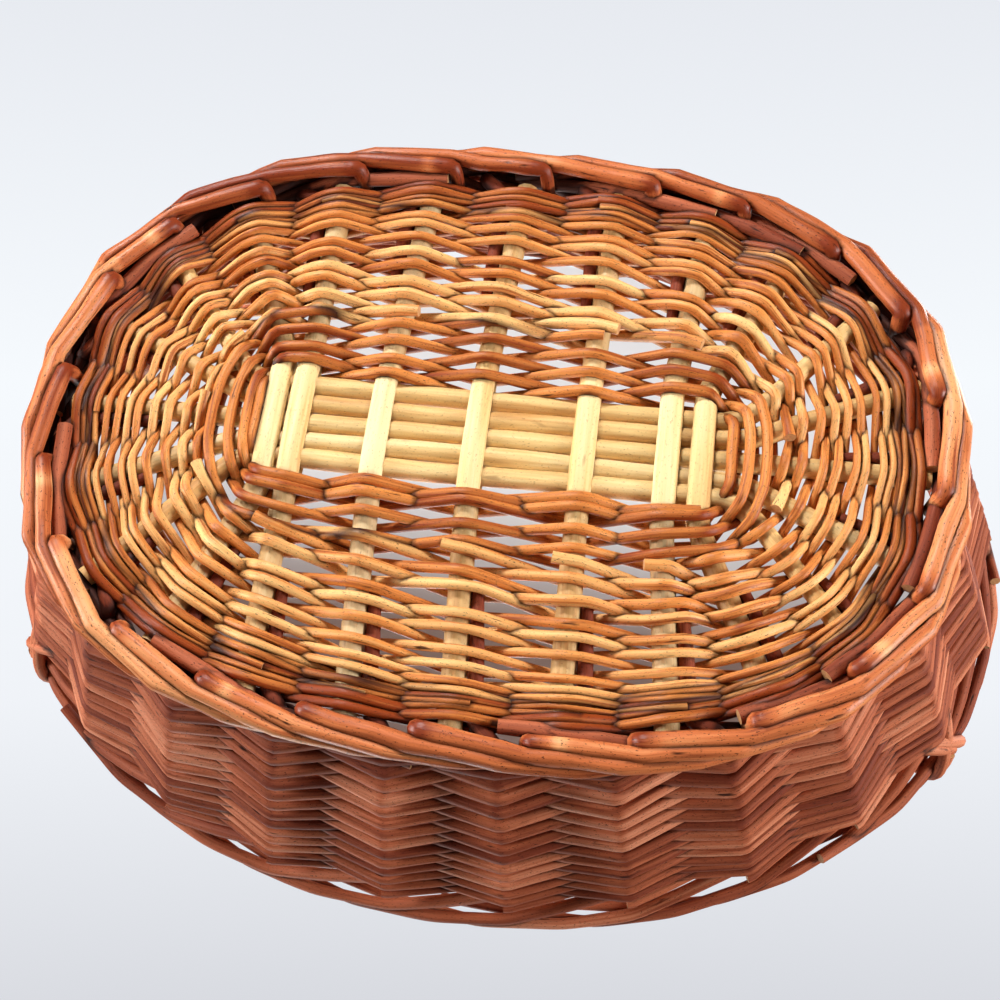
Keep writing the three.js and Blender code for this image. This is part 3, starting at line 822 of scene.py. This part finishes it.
# Camera of the photograph: below the foot, because the basket was photographed bottom up
CAMERA_DEGREES = (12.225, 64.215, -5.61)
CAMERA_AIM = (-4.9, 27.4, 0.0)
CAMERA_DISTANCE = 732.0
azimuth, elevation, roll = (math.radians(angle) for angle in CAMERA_DEGREES)
level = math.cos(elevation)
back = np.array([math.sin(azimuth) * level, -math.cos(azimuth) * level, math.sin(elevation)])
right = np.cross([0, 0, 1], back)
right = right / np.linalg.norm(right)
up = np.cross(back, right)
turned_right = math.cos(roll) * right + math.sin(roll) * up
turned_up = -math.sin(roll) * right + math.cos(roll) * up
eye = np.array(CAMERA_AIM) + back * CAMERA_DISTANCE
bottom_up = np.array([-1, 1, -1])
seat = np.eye(4)
for column, way in enumerate((turned_right, turned_up, back)):
    seat[:3, column] = way * bottom_up
seat[:3, 3] = (eye * bottom_up + (0, 0, HEIGHT)) * MM
lens = bpy.data.cameras.new("photo_camera")
lens.lens = 57.6
lens.sensor_width = 36.0
lens.clip_start = 0.01
camera = bpy.data.objects.new("photo_camera", lens)
bpy.context.scene.collection.objects.link(camera)
camera.matrix_world = Matrix(seat.tolist())
bpy.context.scene.camera = camera

# Floor, seen from above only
bpy.ops.object.select_all(action="DESELECT")
bpy.ops.mesh.primitive_circle_add(vertices=96, radius=14, fill_type="NGON")
floor = bpy.context.object
floor.name = "floor"
pale = Finish(bpy.data.materials.new("pale_floor"))
where = pale.add("ShaderNodeTexCoord", {}, output=3)
distance = pale.add("ShaderNodeVectorMath", {"operation": "LENGTH"}, {0: where}, 1)
glow_share = pale.span(distance, 0.4, 1.2) * 0.4 + 0.6
floor.data.materials.append(pale.close_stage((0.86, 0.87, 0.88, 1), glow_share, srgb(238, 241, 246)))

# A card inside the open mouth, seen from below only, through the gaps of the base: it glows pale, with a
# painted shadow that darkens it towards the near side
bpy.ops.object.select_all(action="DESELECT")
bpy.ops.mesh.primitive_circle_add(vertices=96, radius=1, fill_type="NGON", location=(0, 0, 0.098))
table = bpy.context.object
table.name = "table_under_the_rim"
bpy.ops.transform.resize(value=(0.19, 0.14, 1))
bpy.ops.object.transform_apply(location=True, rotation=False, scale=True)
bpy.ops.object.mode_set(mode="EDIT")
bpy.ops.mesh.select_all(action="SELECT")
bpy.ops.mesh.flip_normals()
bpy.ops.object.mode_set(mode="OBJECT")
shaded = Finish(bpy.data.materials.new("shaded_table"))
where = shaded.add("ShaderNodeTexCoord", {}, output=3)
depth = shaded.add("ShaderNodeSeparateXYZ", {}, {0: where}, 1)
# Painted shadow: dark grey at the near side, pale at the far side
painted_shadow_tint = shaded.blend(shaded.span(depth, -0.045, 0.025), srgb(112, 97, 93), srgb(250, 251, 253))
table.data.materials.append(shaded.close_stage((0.88, 0.88, 0.9, 1), 0.75, painted_shadow_tint))
for surface in (floor, table):
    surface.visible_shadow = False
    surface.visible_diffuse = False
    surface.visible_glossy = False

# Pale surroundings and soft lamps above and below
world = bpy.data.worlds.new("studio")
bpy.context.scene.world = world
room = Finish(world)
where = room.add("ShaderNodeTexCoord")
high = (turned_up * bottom_up).tolist()
high_in_view = room.add("ShaderNodeVectorMath", {"operation": "DOT_PRODUCT"}, {0: where, 1: high}, 1)
# Seen from below, the backdrop is a little darker at the top of the view and darkest at the bottom, where
# it carries a painted soft shadow
from_below = room.add(
    "ShaderNodeValToRGB",
    {"stops": [
        (0.0, srgb(216, 218, 224)),
        (1.0, srgb(231, 234, 240)),
        (0.3, srgb(240, 243, 248)),
        (0.62, srgb(246, 250, 254)),
    ]},
    {0: room.span(high_in_view, -0.3, 0.3)},
)
above_floor = room.add("ShaderNodeSeparateXYZ", {}, {0: where}, 2)
upright = room.blend(room.span(above_floor, 0.0, 0.35), srgb(238, 241, 246), srgb(247, 249, 252))
backdrop = room.blend(room.span(above_floor, 0.45, 0.62), upright, from_below)
seen = room.add("ShaderNodeBackground", {}, {"Color": backdrop})
lit = room.add("ShaderNodeBackground", {}, {"Color": (1.0, 0.99, 0.97, 1), "Strength": 0.1})
ray = room.add("ShaderNodeLightPath")
shown = room.add("ShaderNodeMixShader", {}, {0: ray, 1: lit, 2: seen})
room.add("ShaderNodeOutputWorld", {}, {"Surface": shown})


LAMP_AIM = Vector((0, 0, 0.06))


def soft_lamp(name, at, power, size):
    """A round lamp that faces the middle of the basket and stays out of the picture."""
    light = bpy.data.lights.new(name, "AREA")
    light.shape = "DISK"
    light.size = size
    light.energy = power
    lamp = bpy.data.objects.new(name, light)
    bpy.context.scene.collection.objects.link(lamp)
    lamp.location = at
    lamp.rotation_euler = (Vector(at) - LAMP_AIM).to_track_quat("Z", "Y").to_euler()
    lamp.visible_camera = False


soft_lamp("lamp_below", (0.5, 0.8, -1.0), 20.0, 0.3)
soft_lamp("lamp_below_left", (1.3, -0.1, -0.35), 18.5, 0.5)
soft_lamp("lamp_below_right", (-1.3, -0.15, -0.4), 21.0, 0.5)
soft_lamp("lamp_front", (0.7, -1.6, 1.7), 26.0, 0.8)
soft_lamp("lamp_back", (-1.3, 1.4, 0.9), 24.0, 1.0)
soft_lamp("lamp_above", (0.2, -0.3, 1.6), 10.0, 0.8)

bpy.context.scene.view_settings.view_transform = "Standard"

# Painted shade, kept on every point for the finish: darker where a rod lies close to another one, and in
# the hollow behind the foot
GAP_REACH = 0.0018
SEARCH_REACH = 0.007
HOLLOW_LOW = 9.5
HOLLOW_HIGH = 20
HOLLOW_GAP = 0.1
owners = np.repeat(np.arange(len(laid)), [len(line) for line, _ in laid])
thickness = np.concatenate([thick for _, thick in laid])


def within(places, inset):
    """Which places lie, in plan, within the foot border drawn in by an inset."""
    shares = np.abs(places[:, :2] / (np.array(BORDER_HALF) - inset))
    return np.sum(shares ** BORDER_FULLNESS, axis=1) < 1


near = KDTree(len(owners))
for index, point in enumerate(np.concatenate([line for line, _ in laid])):
    near.insert(point, index)
near.balance()
for made in dressed:
    mesh = made.data
    numbers = np.zeros(len(mesh.vertices), np.int32)
    mesh.attributes["rod_number"].data.foreach_get("value", numbers)
    gaps = np.ones(len(numbers))
    places = np.zeros(len(numbers) * 3)
    mesh.vertices.foreach_get("co", places)
    places = places.reshape(-1, 3) / MM
    for i, vertex in enumerate(mesh.vertices):
        close = near.find_range(vertex.co, SEARCH_REACH)
        found = [distance - thickness[j] for _, j, distance in close if owners[j] != numbers[i]]
        if found:
            gaps[i] = min(1.0, max(0.0, min(found) / GAP_REACH))
    # Painted shade: points in the hollow behind the foot get a small gap, so they take the dark shade
    # colour
    behind_foot = ~within(places, EDGE_INSET) & within(places, 0)
    hollow = behind_foot & (places[:, 2] > HOLLOW_LOW) & (places[:, 2] < HOLLOW_HIGH)
    gaps[hollow] = np.minimum(gaps[hollow], HOLLOW_GAP)
    mesh.attributes.new("rod_gap", "FLOAT", "POINT").data.foreach_set("value", gaps)
